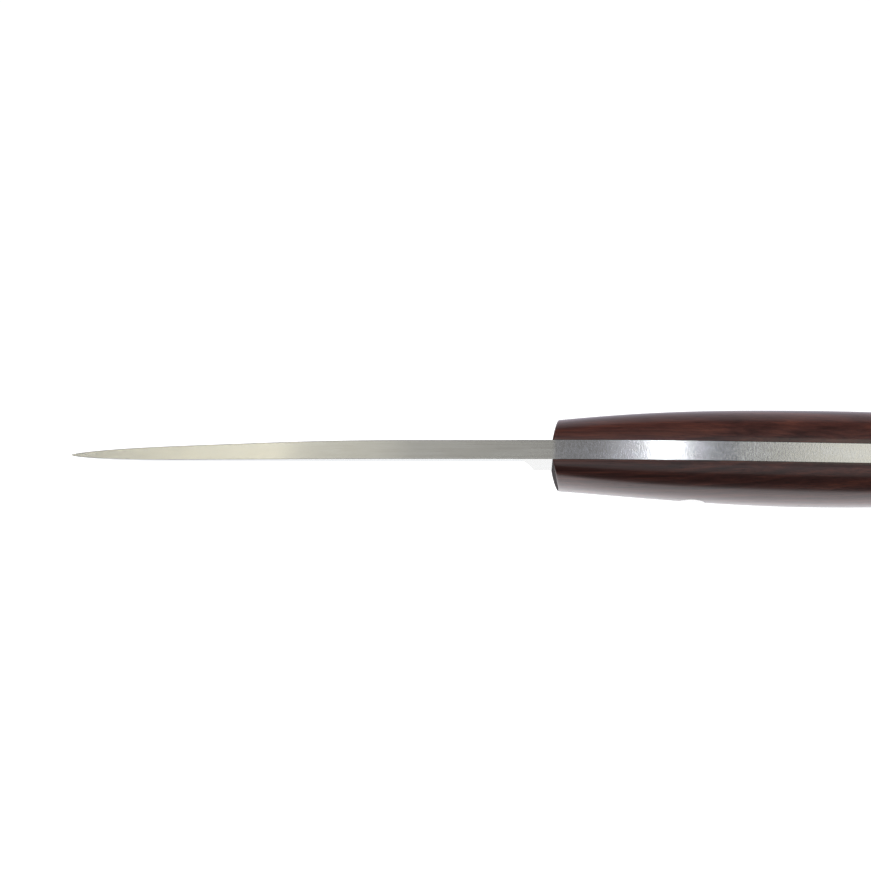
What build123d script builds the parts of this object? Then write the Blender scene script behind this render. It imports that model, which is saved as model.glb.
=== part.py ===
from build123d import *
import os
from math import hypot, radians, tan

# Boning knife: a full-tang blade between two wooden scales, held by two handle bolts and two
# bond films. Millimetres. +X runs from the tip to the butt, +Y to the right-hand side of the
# person who holds it, +Z from the cutting edge up to the spine. The origin is the middle of the
# grip: halfway along the handle, on the middle plane of the blade.

# ---------------------------------------------------------------- driving dimensions
# Whole knife
blade_length = 120.0  # tip to the front of the handle
handle_length = 120.0  # front of the handle to the butt
steel_thickness = 4.8  # stock of the blade and tang
spine_height = 17.0  # straight spine of the blade above the origin

# Blade, side view
blade_height = 21.0  # straight spine to straight edge
straight_spine = 35.0  # spine that stays level in front of the handle
clip_radius = 243.0  # bend where the spine starts to fall
clip_angle = 8.6  # fall of the spine towards the tip, degrees
belly_length = 30.0  # curved stretch of the edge, measured back from the tip
belly_start_pull = 18.0  # how long the curve keeps the direction of the straight edge
belly_tip_pull = 6.7  # how long the curve keeps its direction at the tip
tip_angle = 63.0  # direction of the edge at the tip, degrees from level

# Blade, cross-section
grind_root_width = 0.45  # thickness just above the sharpened edge
apex_width = 0.1  # width left at the very edge
edge_angle = 18.0  # sharpened edge, degrees a side
ricasso_length = 4.5  # unground steel in front of the handle, at the edge
plunge_lean = 2.0  # how much further forward the grind starts at the spine

# Handle, side view: heights are measured down from the spine of the handle
handle_drop_angle = 7.2  # fall of the handle's spine towards the butt, degrees
spine_bend_radius = 377.0  # bend between the level spine and that fall
front_height = 23.6  # at the front
recess_station = 19.0  # forefinger recess, from the front
recess_height = 22.3
palm_station = 60.0  # fullest part of the palm swell, from the front
palm_height = 25.4
waist_station = 23.0  # slimmer part, from the butt
waist_height = 23.4
butt_height = 27.0  # at the butt, where the lower line ends in a hooked corner
keel_entry_angle = 10.0  # rise of the lower line at the front, degrees
hook_angle = 24.0  # slope of the lower line at the butt, degrees
butt_bulge = 2.2  # how far the butt stands out between its two corners
butt_lean = 3.0  # how far the lower corner of the butt lies ahead of the upper one
butt_rounding = 4.0  # radius round the edge of the butt
guard_rounding = 2.0  # hollow corner between the blade and the front of the handle

# Handle, plan view: half widths
front_half_width = 8.7
shoulder_station = 20.0  # from the front
shoulder_half_width = 10.4
swell_station = 74.0  # widest place, from the front
swell_half_width = 12.05
butt_half_width = 10.6
front_sweep_angle = 10.0  # the front faces lean back from square, degrees, at the steel
front_sweep_radius = 45.0  # and curve back further towards the outside
front_edge_rounding = 0.5  # round the outer edge; the glued edge stays sharp

# Joints between the pieces
bond_thickness = 0.1  # cured adhesive between the tang and each scale

# Handle bolts
front_bolt_inset = 35.0  # bolt centre from the front
rear_bolt_inset = 35.0  # bolt centre from the butt
bolt_depth = 12.6  # bolt centre below the spine of the handle
bolt_head_radius = 3.175
bolt_shank_radius = 2.38
bolt_stud_radius = 1.7
bolt_head_clearance = 0.03
bolt_shank_clearance = 0.08
thread_clearance = 0.05  # radial gap that stands for the thread
scale_web = 3.4  # wood left between the bolt's shoulder and the tang
socket_end_gap = 0.5  # so that the shoulders pull tight before the socket bottoms
stud_end_gap = 0.8  # between the tip of the stud and the blind end of the socket
socket_floor = 1.2  # metal between the blind end and the shoulder's plane

# ---------------------------------------------------------------- places that follow from them
front_x = -handle_length / 2
butt_x = handle_length / 2
tip_x = front_x - blade_length
half_steel = steel_thickness / 2
scale_face = half_steel + bond_thickness  # inner face of a scale
shoulder_y = scale_face + scale_web  # plane that a bolt's shoulder bears on
edge_z = spine_height - blade_height
overrun = 4.0  # how far a cutting shape or a section runs past the piece it shapes
beyond = blade_height + front_height + butt_height  # half of a cut that passes right through
grip_sections = 13  # cross-sections that the handle's rounded form is drawn through
section_lead = 1.0  # how far ahead of the front the first of them lies

os.makedirs("parts", exist_ok=True)


def save(piece: BuildPart, name: str) -> None:
    """Label a finished piece and write it as a STEP file."""
    piece.part.label = name
    export_step(piece.part, f"parts/{name}.step")


def height_at(curve: Curve, station: float) -> float:
    """Second coordinate of a flat curve where it passes a station along X."""
    return curve.intersect(Axis((station, 0, 0), (0, 1, 0)))[0].Y


# ---------------------------------------------------------------- side view, drawn as (x, z)
# Spine of the handle: level where it meets the blade, then a large bend and a straight fall.
with BuildLine() as handle_spine:
    bend = JernArc((front_x, spine_height), (1, 0), spine_bend_radius, -handle_drop_angle)
    fall = PolarLine(
        bend @ 1, butt_x - (bend @ 1).X, -handle_drop_angle, length_mode=LengthMode.HORIZONTAL
    )

butt_top = fall @ 1
butt_foot = Vector(butt_x - butt_lean, butt_top.Y - butt_height)
recess_x = front_x + recess_station
palm_x = front_x + palm_station
waist_x = butt_x - waist_station

# Keel of the handle: finger recess, palm swell, waist and hook.
with BuildLine() as handle_keel:
    keel = Spline(
        (front_x, spine_height - front_height),
        (recess_x, height_at(handle_spine.line, recess_x) - recess_height),
        (palm_x, height_at(handle_spine.line, palm_x) - palm_height),
        (waist_x, height_at(handle_spine.line, waist_x) - waist_height),
        butt_foot,
        tangents=[(1, tan(radians(keel_entry_angle))), (1, -tan(radians(hook_angle)))],
    )

# Rounded end of the handle, run on past the spine and the keel so that it can cut them off.
with BuildLine() as butt_cut:
    butt = ThreePointArc(butt_top, (butt_top + butt_foot) / 2 + Vector(butt_bulge, 0), butt_foot)
    Line(butt @ 0, butt @ 0 - (butt % 0) * overrun)
    Line(butt @ 1, butt @ 1 + (butt % 1) * overrun)

# The same spine and keel, run on past both ends for the handle's cross-sections.
with BuildLine() as long_spine:
    Line((front_x - overrun, spine_height), (front_x, spine_height))
    add(handle_spine.line)
    Line(fall @ 1, fall @ 1 + (fall % 1) * 2 * overrun)

with BuildLine() as long_keel:
    Line(keel @ 0 - (keel % 0) * 2 * overrun, keel @ 0)
    add(handle_keel.line)
    Line(keel @ 1, keel @ 1 + (keel % 1) * 3 * overrun)

# Outline of the tang, which the scales and the bond films share.
with BuildSketch() as handle_side:
    with BuildLine():
        add(handle_spine.line)
        add(butt)
        add(handle_keel.line)
        Line(keel @ 0, (front_x, spine_height))
    make_face()
    fillet(handle_side.vertices().group_by(Axis.X)[-2:], butt_rounding)

# Outline of the blade: level spine, bend and straight fall to the tip; belly and straight edge.
with BuildLine() as blade_spine:
    level = Line((front_x, spine_height), (front_x - straight_spine, spine_height))
    clip = JernArc(level @ 1, (-1, 0), clip_radius, clip_angle)
    point = PolarLine(
        clip @ 1, (clip @ 1).X - tip_x, 180 + clip_angle, length_mode=LengthMode.HORIZONTAL
    )

tip = point @ 1
belly_start = Vector(tip_x + belly_length, edge_z)
tip_direction = Vector(-1, 0).rotate(Axis.Z, -tip_angle)

with BuildLine() as blade_edge:
    belly = Bezier(
        tip, tip - tip_direction * belly_tip_pull, belly_start - Vector(belly_start_pull, 0), belly_start
    )
    Line(belly_start, (front_x - guard_rounding, edge_z))

with BuildSketch() as blade_side:
    with BuildLine():
        add(blade_spine.line)
        add(blade_edge.line)
        RadiusArc((front_x - guard_rounding, edge_z), (front_x, edge_z - guard_rounding), guard_rounding)
        Line((front_x, edge_z - guard_rounding), (front_x, spine_height))
    make_face()

# ---------------------------------------------------------------- plan view, drawn as (x, y)
with BuildLine() as half_width:
    swell = Spline(
        (front_x, front_half_width),
        (front_x + shoulder_station, shoulder_half_width),
        (front_x + swell_station, swell_half_width),
        (butt_x, butt_half_width),
    )
    Line(swell @ 0 - (swell % 0) * 2 * overrun, swell @ 0)
    Line(swell @ 1, swell @ 1 + (swell % 1) * 2 * overrun)

# Everything behind the swept-back front faces of the scales.
with BuildSketch() as behind_front:
    with BuildLine():
        lean = Vector(0, 1).rotate(Axis.Z, -front_sweep_angle)
        sweep_right = JernArc((front_x, scale_face), lean, front_sweep_radius, -front_sweep_angle * 2)
        mirror(sweep_right, about=Plane.XZ)
        Line((front_x, -scale_face), (front_x, scale_face))
        sweep_end = sweep_right @ 1
        far_x = butt_x + 2 * overrun
        Polyline(sweep_end, (far_x, sweep_end.Y), (far_x, -sweep_end.Y), (sweep_end.X, -sweep_end.Y))
    make_face()

# Everything ahead of the butt.
with BuildSketch() as ahead_of_butt:
    with BuildLine():
        add(butt_cut.line)
        upper = butt_cut.vertices().sort_by(Axis.Y)[-1]
        lower = butt_cut.vertices().sort_by(Axis.Y)[0]
        Line((upper.X, upper.Y), (upper.X, beyond))
        Polyline((upper.X, beyond), (tip_x, beyond), (tip_x, -beyond), (lower.X, -beyond))
        Line((lower.X, -beyond), (lower.X, lower.Y))
    make_face()

# ---------------------------------------------------------------- rounded form of the handle
# Each section is flat across the tang and an elliptical quarter above and below on each side.
with BuildPart() as grip_form:
    for number in range(grip_sections):
        station = front_x - section_lead + (handle_length + overrun) * number / (grip_sections - 1)
        top = height_at(long_spine.line, station)
        bottom = height_at(long_keel.line, station)
        reach = height_at(half_width.line, station) - scale_face
        with BuildSketch(Plane.YZ.offset(station)):
            with BuildLine():
                middle = (top + bottom) / 2
                EllipticalCenterArc((scale_face, middle), reach, (top - bottom) / 2, -90, arc_size=180)
                Line((scale_face, top), (-scale_face, top))
                EllipticalCenterArc((-scale_face, middle), reach, (top - bottom) / 2, 90, arc_size=180)
                Line((-scale_face, bottom), (scale_face, bottom))
            make_face()
    loft()
    with BuildSketch(Plane.XZ):
        add(ahead_of_butt.sketch)
    extrude(amount=beyond, both=True, mode=Mode.INTERSECT)
    fillet(grip_form.edges().group_by(Axis.X)[-1], butt_rounding)

# ---------------------------------------------------------------- grinds of the blade
# Below the cutting edge: pushed up along the slope of a grind, this outline is what that grind
# takes off, so the flat of the blade runs on into a curve that follows the belly.
sharpened_rise = (grind_root_width - apex_width) / 2 / tan(radians(edge_angle))
flat_slope = (half_steel - grind_root_width / 2) / (blade_height - sharpened_rise)
edge_slope = tan(radians(edge_angle))

with BuildSketch() as below_edge:
    with BuildLine():
        add(blade_edge.line)
        Line((front_x - guard_rounding, edge_z), (front_x, edge_z))
        Polyline((front_x, edge_z), (front_x, -beyond), (tip.X, -beyond), (tip.X, tip.Y))
    make_face()

# Side of the blade ahead of the plunge line, where the grinds run out.
with BuildSketch() as ground_side:
    with BuildLine():
        plunge_foot = Vector(front_x - ricasso_length, edge_z)
        plunge_top = Vector(front_x - ricasso_length - plunge_lean, spine_height)
        plunge_run = plunge_top - plunge_foot
        low = plunge_foot - plunge_run
        high = plunge_top + plunge_run
        Line(low, high)
        Polyline(low, (tip_x - overrun, low.Y), (tip_x - overrun, high.Y), high)
    make_face()

with BuildPart() as grind:
    flat_root = grind_root_width / 2 - flat_slope * sharpened_rise
    with BuildSketch(Plane.XZ.offset(-flat_root)):
        add(below_edge.sketch)
    flat_rise = blade_height + overrun
    extrude(amount=hypot(1, flat_slope) * flat_rise, dir=(0, flat_slope, 1))
    with BuildSketch(Plane.XZ.offset(-apex_width / 2)):
        add(below_edge.sketch)
    extrude(amount=hypot(1, edge_slope) * overrun, dir=(0, edge_slope, 1))
    with BuildSketch(Plane.XZ):
        add(ground_side.sketch)
    extrude(amount=steel_thickness, both=True, mode=Mode.INTERSECT)

# ---------------------------------------------------------------- places of the handle bolts
front_bolt_x = front_x + front_bolt_inset
rear_bolt_x = butt_x - rear_bolt_inset
bolt_centres = [
    (x, height_at(handle_spine.line, x) - bolt_depth) for x in (front_bolt_x, rear_bolt_x)
]

# ---------------------------------------------------------------- blade and tang
with BuildPart() as blade:
    with BuildSketch(Plane.XZ):
        add(handle_side.sketch)
        add(blade_side.sketch)
    extrude(amount=half_steel, both=True)
    add(grind.part, mode=Mode.SUBTRACT)
    mirror(grind.part, about=Plane.XZ, mode=Mode.SUBTRACT)
    with BuildSketch(Plane.XZ):
        with Locations(bolt_centres):
            Circle(bolt_shank_radius + bolt_shank_clearance)
    extrude(amount=steel_thickness, both=True, mode=Mode.SUBTRACT)

save(blade, "blade")

# ---------------------------------------------------------------- wooden scales
with BuildPart() as right_scale:
    add(grip_form.part)
    split(bisect_by=Plane.XZ.offset(-scale_face), keep=Keep.BOTTOM)
    with BuildSketch(Plane.XY):
        add(behind_front.sketch)
    extrude(amount=beyond, both=True, mode=Mode.INTERSECT)
    front_face = right_scale.faces().sort_by(Axis.X)[0]
    fillet(front_face.edges().sort_by(Axis.Y)[-1], front_edge_rounding)
    for x, z in bolt_centres:
        with Locations(Plane((x, shoulder_y, z), z_dir=(0, 1, 0))):
            CounterBoreHole(
                bolt_shank_radius + bolt_shank_clearance,
                bolt_head_radius + bolt_head_clearance,
                counter_bore_depth=0,
                depth=swell_half_width,
            )

save(right_scale, "right_scale")

with BuildPart() as left_scale:
    mirror(right_scale.part, about=Plane.XZ)

save(left_scale, "left_scale")

# ---------------------------------------------------------------- bond films
with BuildPart() as right_bond_film:
    with BuildSketch(Plane.XZ.offset(-scale_face)):
        add(handle_side.sketch)
        with Locations(bolt_centres):
            Circle(bolt_shank_radius + bolt_shank_clearance, mode=Mode.SUBTRACT)
    extrude(amount=bond_thickness)

save(right_bond_film, "right_bond_film")

with BuildPart() as left_bond_film:
    mirror(right_bond_film.part, about=Plane.XZ)

save(left_bond_film, "left_bond_film")

# ---------------------------------------------------------------- handle bolts
# Turned pieces on an axis along Y. The heads are ground flush with the scales. The socket half
# goes in from the right: its shank carries the stud of the screw half, which goes in from the left.
stud_hole_radius = bolt_stud_radius + thread_clearance
socket_end = -shoulder_y + socket_end_gap
blind_end = shoulder_y - socket_floor

for place, (x, z) in zip(("front", "rear"), bolt_centres):
    axle = Axis((x, 0, z), (0, 1, 0))
    with BuildPart() as socket_half:
        with BuildSketch(Plane((x, 0, z))):
            with BuildLine():
                Polyline(
                    (0, beyond), (bolt_head_radius, beyond), (bolt_head_radius, shoulder_y),
                    (bolt_shank_radius, shoulder_y), (bolt_shank_radius, socket_end),
                    (stud_hole_radius, socket_end), (stud_hole_radius, blind_end), (0, blind_end),
                    close=True,
                )
            make_face()
        revolve(axis=axle)
        add(grip_form.part, mode=Mode.INTERSECT)
    save(socket_half, f"{place}_bolt_socket")

    with BuildPart() as screw_half:
        with BuildSketch(Plane((x, 0, z))):
            with BuildLine():
                Polyline(
                    (0, -beyond), (bolt_head_radius, -beyond), (bolt_head_radius, -shoulder_y),
                    (bolt_stud_radius, -shoulder_y), (bolt_stud_radius, blind_end - stud_end_gap),
                    (0, blind_end - stud_end_gap),
                    close=True,
                )
            make_face()
        revolve(axis=axle)
        add(grip_form.part, mode=Mode.INTERSECT)
    save(screw_half, f"{place}_bolt_screw")
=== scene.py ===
"""Finished looks of a full-tang boning knife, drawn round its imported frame.

A strip of satin steel runs from the tip to the butt between two polished hardwood scales, which
two ground-flush bolts hold. +X runs from the tip to the butt, +Y to the right-hand side, +Z from
the edge to the spine, and the origin is the middle of the grip. Shapes are worked out in
millimetres and turned into metres where a mesh is made.
"""
import logging
from dataclasses import dataclass
from enum import Enum
from functools import cached_property
from math import cos, pi, radians, sin, tan
from typing import Any, Callable, ClassVar, Sequence

import bmesh
import bpy
import numpy as np
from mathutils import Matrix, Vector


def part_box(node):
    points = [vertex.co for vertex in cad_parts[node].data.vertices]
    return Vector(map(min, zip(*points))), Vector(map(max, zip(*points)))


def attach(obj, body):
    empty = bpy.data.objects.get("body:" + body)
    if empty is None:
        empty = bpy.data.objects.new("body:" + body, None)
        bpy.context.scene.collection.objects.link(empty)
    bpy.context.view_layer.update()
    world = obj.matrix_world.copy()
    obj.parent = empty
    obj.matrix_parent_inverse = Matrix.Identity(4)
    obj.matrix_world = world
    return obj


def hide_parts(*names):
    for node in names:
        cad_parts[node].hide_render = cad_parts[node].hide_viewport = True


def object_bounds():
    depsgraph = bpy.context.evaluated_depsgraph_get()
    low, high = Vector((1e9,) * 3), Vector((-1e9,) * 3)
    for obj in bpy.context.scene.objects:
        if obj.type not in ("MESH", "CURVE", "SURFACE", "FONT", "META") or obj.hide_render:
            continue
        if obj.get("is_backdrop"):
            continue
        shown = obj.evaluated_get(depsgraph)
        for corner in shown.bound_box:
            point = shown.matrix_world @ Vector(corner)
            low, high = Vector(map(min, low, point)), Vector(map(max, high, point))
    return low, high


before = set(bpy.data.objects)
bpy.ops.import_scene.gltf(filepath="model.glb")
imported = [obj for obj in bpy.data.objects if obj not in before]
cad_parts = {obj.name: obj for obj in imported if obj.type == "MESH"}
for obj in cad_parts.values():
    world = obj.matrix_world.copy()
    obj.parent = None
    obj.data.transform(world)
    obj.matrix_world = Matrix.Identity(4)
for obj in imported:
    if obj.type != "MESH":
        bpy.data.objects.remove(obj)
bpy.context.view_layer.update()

logging.basicConfig(level=logging.INFO, format="%(message)s")
log = logging.getLogger("boning_knife")

MM = 0.001
END_GRAIN = "end_grain"
WELD = 2e-7
SHARP_ANGLE = radians(24.0)
Colour = tuple[float, float, float]
Lift = Callable[[np.ndarray, np.ndarray], np.ndarray]


# ------------------------------------------------------------------------------- curves
class SmoothLine:
    """A curve through a few stations whose bend never jumps.

    Between two stations the height is the cubic that takes the heights and slopes of both, and
    the slopes are those that make the second derivative continuous. Past an end it runs straight.
    """

    def __init__(
        self,
        places: Sequence[float],
        heights: Sequence[float],
        first_slope: float | None = None,
        last_slope: float | None = None,
    ) -> None:
        """Solve for the slopes.

        Args:
            places: stations along X, rising.
            heights: height at each station.
            first_slope: slope at the first station, or None for an end without bend.
            last_slope: the same at the last station.
        """
        self.places = np.asarray(places, float)
        self.heights = np.asarray(heights, float)
        step = np.diff(self.places)
        rise = np.diff(self.heights) / step
        count = len(self.places)
        system = np.zeros((count, count))
        known = np.zeros(count)
        inner = np.arange(1, count - 1)
        system[inner, inner - 1] = step[1:]
        system[inner, inner] = 2 * (step[:-1] + step[1:])
        system[inner, inner + 1] = step[:-1]
        known[1:-1] = 3 * (step[1:] * rise[:-1] + step[:-1] * rise[1:])
        system[0, :2] = (2, 1) if first_slope is None else (1, 0)
        known[0] = 3 * rise[0] if first_slope is None else first_slope
        system[-1, -2:] = (1, 2) if last_slope is None else (0, 1)
        known[-1] = 3 * rise[-1] if last_slope is None else last_slope
        self.slopes = np.linalg.solve(system, known)

    def __call__(self, place: np.ndarray | float) -> np.ndarray:
        """Height at each place.

        Args:
            place: stations along X.

        Returns:
            The heights, in the same shape.
        """
        place = np.asarray(place, float)
        inside = np.clip(place, self.places[0], self.places[-1])
        left = np.clip(np.searchsorted(self.places, inside) - 1, 0, len(self.places) - 2)
        step = self.places[left + 1] - self.places[left]
        part = (inside - self.places[left]) / step
        height = (
            (1 + 2 * part) * (1 - part) ** 2 * self.heights[left]
            + part * (1 - part) ** 2 * step * self.slopes[left]
            + part**2 * (3 - 2 * part) * self.heights[left + 1]
            - part**2 * (1 - part) * step * self.slopes[left + 1]
        )
        outside = place - inside
        slope = np.where(outside < 0, self.slopes[0], self.slopes[-1])
        return height + outside * slope


def bent_fall(run: np.ndarray | float, start: float, radius: float, angle: float) -> np.ndarray:
    """Drop below a level line that bends through an arc and then falls straight.

    The drop is radius less the arc's height over the bend, then grows by the tangent of the angle.

    Args:
        run: distance along the level line.
        start: where the bend begins.
        radius: radius of the bend.
        angle: final slope, in radians.

    Returns:
        The drop at each run, zero or more.
    """
    past = np.asarray(run, float) - start
    bend_run = radius * sin(angle)
    bent = np.clip(past, 0, bend_run)
    straight = np.maximum(past - bend_run, 0)
    return radius - np.sqrt(radius**2 - bent**2) + straight * tan(angle)


def rounded(
    start: np.ndarray, corner: np.ndarray, end: np.ndarray, angle: np.ndarray, count: int
) -> np.ndarray:
    """Arcs that round corners between two legs.

    Each is the rational quadratic curve from start to end whose middle weight is the sine of half
    the corner's angle, which is a circle's arc where the legs are equal.

    Args:
        start: points where the arcs begin, (n, 3).
        corner: the sharp corners, (n, 3).
        end: points where the arcs end, (n, 3).
        angle: angle between the legs at each corner, (n,).
        count: points along each arc, ends included.

    Returns:
        Points as (count, n, 3).
    """
    part = np.linspace(0, 1, count)[:, None, None]
    weight = np.sin(angle / 2)[None, :, None]
    near, middle, far = (1 - part) ** 2, 2 * weight * part * (1 - part), part**2
    return (near * start + middle * corner + far * end) / (near + middle + far)


# ------------------------------------------------------------------------------- mesh work
def block_edge(rows: tuple[int, int], columns: tuple[int, int]) -> tuple[np.ndarray, np.ndarray]:
    """Indices of the points round a block of a grid, in order.

    Args:
        rows: first and last row of points.
        columns: first and last column of points.

    Returns:
        Row indices and column indices, each corner once.
    """
    down = np.arange(rows[0], rows[1])
    across = np.arange(columns[0], columns[1])
    row = np.concatenate(
        [down, np.full(len(across), rows[1]), down[::-1] + 1, np.full(len(across), rows[0])]
    )
    column = np.concatenate(
        [np.full(len(down), columns[0]), across, np.full(len(down), columns[1]), across[::-1] + 1]
    )
    return row, column


class Side(Enum):
    """Side of the steel that a piece lies on, as the sign of its Y."""

    RIGHT = 1
    LEFT = -1

    @property
    def word(self) -> str:
        """The side's name as it stands in the names of pieces and nodes."""
        return self.name.lower()

    def turn(self, grid: np.ndarray) -> np.ndarray:
        """Points of the right-hand side moved to this side."""
        return grid * (1, self.value, 1)


class Shell:
    """Collects grids of points, moves them to its side and welds them into one closed mesh."""

    def __init__(self, name: str, side: Side = Side.RIGHT, sharp_angle: float = SHARP_ANGLE) -> None:
        """Start an empty shell.

        Args:
            name: the finished object's name.
            side: side that every grid is moved to.
            sharp_angle: faces that turn by more than this meet in a crisp edge.
        """
        self.name = name
        self.side = side
        self.sharp_angle = sharp_angle
        self.points: list[np.ndarray] = []
        self.quads: list[np.ndarray] = []
        self.count = 0

    def add(self, grid: np.ndarray, closed: bool = False, windows: Sequence[tuple] = ()) -> None:
        """Add a grid of points joined by four-sided faces.

        Args:
            grid: points as (rows, columns, 3), in millimetres.
            closed: whether the last column joins the first.
            windows: blocks left open, each as (rows, columns) of first and last points.
        """
        rows, columns = grid.shape[:2]
        number = np.arange(rows * columns).reshape(rows, columns) + self.count
        if closed:
            number = np.concatenate([number, number[:, :1]], axis=1)
        quads = np.stack([number[:-1, :-1], number[:-1, 1:], number[1:, 1:], number[1:, :-1]], axis=-1)
        keep = np.ones(quads.shape[:2], bool)
        for window_rows, window_columns in windows:
            keep[window_rows[0]:window_rows[1], window_columns[0]:window_columns[1]] = False
        self.points.append(self.side.turn(grid).reshape(-1, 3))
        self.quads.append(quads[keep])
        self.count += rows * columns

    def build(self) -> bpy.types.Object:
        """Weld the grids, turn every face outwards and make the object at the origin.

        Returns:
            The finished object, riding on the knife's one body.
        """
        mesh = bpy.data.meshes.new(self.name)
        points, quads = np.concatenate(self.points) * MM, np.concatenate(self.quads)
        mesh.from_pydata(points.tolist(), [], quads.tolist())
        work = bmesh.new()
        work.from_mesh(mesh)
        bmesh.ops.remove_doubles(work, verts=work.verts, dist=WELD)
        bmesh.ops.recalc_face_normals(work, faces=work.faces)
        work.to_mesh(mesh)
        open_edges = sum(1 for edge in work.edges if len(edge.link_faces) != 2)
        work.free()
        mesh.shade_smooth()
        mesh.set_sharp_from_angle(angle=self.sharp_angle)
        piece = bpy.data.objects.new(self.name, mesh)
        bpy.context.scene.collection.objects.link(piece)
        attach(piece, "root")
        log.info("%s: %d faces, %d open edges", self.name, len(mesh.polygons), open_edges)
        return piece


@dataclass(frozen=True)
class Hole:
    """A round hole along Y through a grid whose points run along X and Z."""

    RINGS: ClassVar[int] = 10
    CROWDING: ClassVar[float] = 0.8

    x: float
    z: float
    reach: float = 5.2

    def window(self, grid: np.ndarray) -> tuple[tuple[int, int], tuple[int, int]]:
        """Block of the grid to leave open round the hole.

        Args:
            grid: points as (rows, columns, 3).

        Returns:
            First and last row, then first and last column, of the block's points.
        """
        near = (np.abs(grid[..., 0] - self.x) < self.reach) & (np.abs(grid[..., 2] - self.z) < self.reach)
        rows = np.flatnonzero(near.any(axis=1))
        columns = np.flatnonzero(near.any(axis=0))
        return (int(rows[0]), int(rows[-1])), (int(columns[0]), int(columns[-1]))

    def ring(self, edge: np.ndarray, radius: float) -> np.ndarray:
        """Points of a circle, each in line with one point of the block's edge.

        Args:
            edge: points of the block's edge, (n, 3).
            radius: radius of the circle.

        Returns:
            X and Z of the circle's points, (n, 2).
        """
        angle = np.arctan2(edge[:, 2] - self.z, edge[:, 0] - self.x)
        return np.stack([self.x + radius * np.cos(angle), self.z + radius * np.sin(angle)], axis=1)

    def surround(self, edge: np.ndarray, ring: np.ndarray, lift: Lift) -> np.ndarray:
        """Surface between the block's edge and the circle.

        Each point's X and Z are shared out evenly between edge and circle, and Y is the lift there.

        Args:
            edge: points of the block's edge, (n, 3).
            ring: X and Z of the circle's points, (n, 2).
            lift: Y of the surface at an X and a Z.

        Returns:
            Points as (rings, n, 3), from the edge to the circle.
        """
        part = (np.linspace(0, 1, self.RINGS) ** self.CROWDING)[:, None]
        x = edge[:, 0] * (1 - part) + ring[:, 0] * part
        z = edge[:, 2] * (1 - part) + ring[:, 1] * part
        points = np.stack([x, lift(x, z), z], axis=-1)
        points[0] = edge
        return points

    @staticmethod
    def at(ring: np.ndarray, y: np.ndarray | float) -> np.ndarray:
        """The circle's points at a given Y, as (n, 3)."""
        return np.stack([ring[:, 0], np.broadcast_to(y, ring.shape[:1]), ring[:, 1]], axis=1)


# ------------------------------------------------------------------------------- shapes
def corners(node: str) -> tuple[np.ndarray, np.ndarray]:
    """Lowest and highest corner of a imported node, in millimetres."""
    low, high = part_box(node)
    return np.array(low) / MM, np.array(high) / MM


@dataclass(frozen=True)
class BoltPlace:
    """Where a handle bolt sits and what it measures, read from the frame."""

    name: str
    x: float
    z: float
    head_radius: float

    @classmethod
    def read(cls, name: str) -> "BoltPlace":
        """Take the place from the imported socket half.

        Args:
            name: "front" or "rear".

        Returns:
            The bolt's place.
        """
        low, high = corners(f"{name}_bolt_socket")
        middle = (low + high) / 2
        return cls(name, float(middle[0]), float(middle[2]), float(high[0] - low[0]) / 2)


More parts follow.
